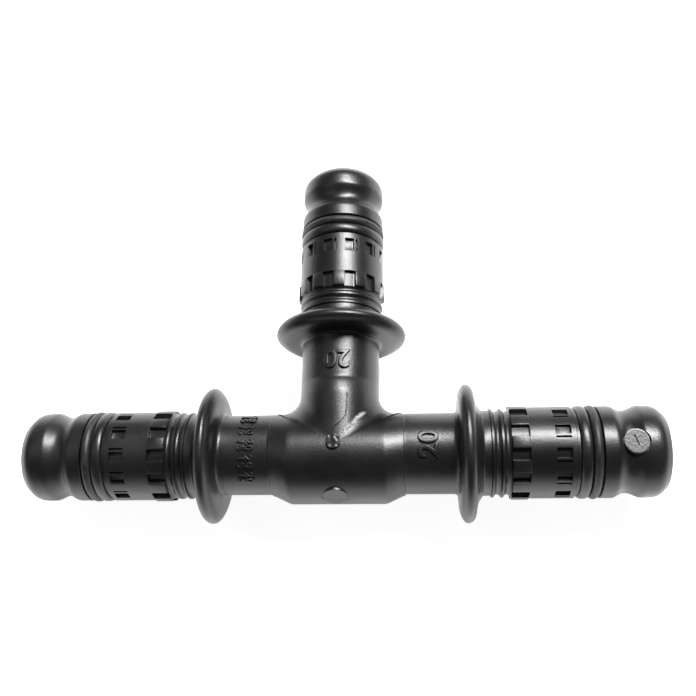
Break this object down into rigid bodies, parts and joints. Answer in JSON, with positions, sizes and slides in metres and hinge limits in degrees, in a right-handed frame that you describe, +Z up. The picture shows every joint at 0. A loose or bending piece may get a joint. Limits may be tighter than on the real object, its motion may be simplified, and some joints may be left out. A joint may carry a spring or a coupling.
{
  "type": "press pipe tee fitting",
  "caption": "Equal press tee for composite pipe: moulded body with a collar, barbs, castellated band and O-ring on each spigot.",
  "frame": {"origin": "where the axis of the straight run and the axis of the branch cross, halfway along the run's waterway", "axes": "+X along the straight run, +Y along the branch, +Z up; the tee lies flat on its three collars"},
  "size_m": [0.1044, 0.0635, 0.0226],
  "materials": {
    "body_plastic": "satin moulded",
    "seal_rubber": "matte"
  },
  "bodies": {
    "root": {"tee_body": "body_plastic", "o_ring_left": "seal_rubber", "o_ring_right": "seal_rubber", "o_ring_branch": "seal_rubber"}
  },
  "joints": []
}
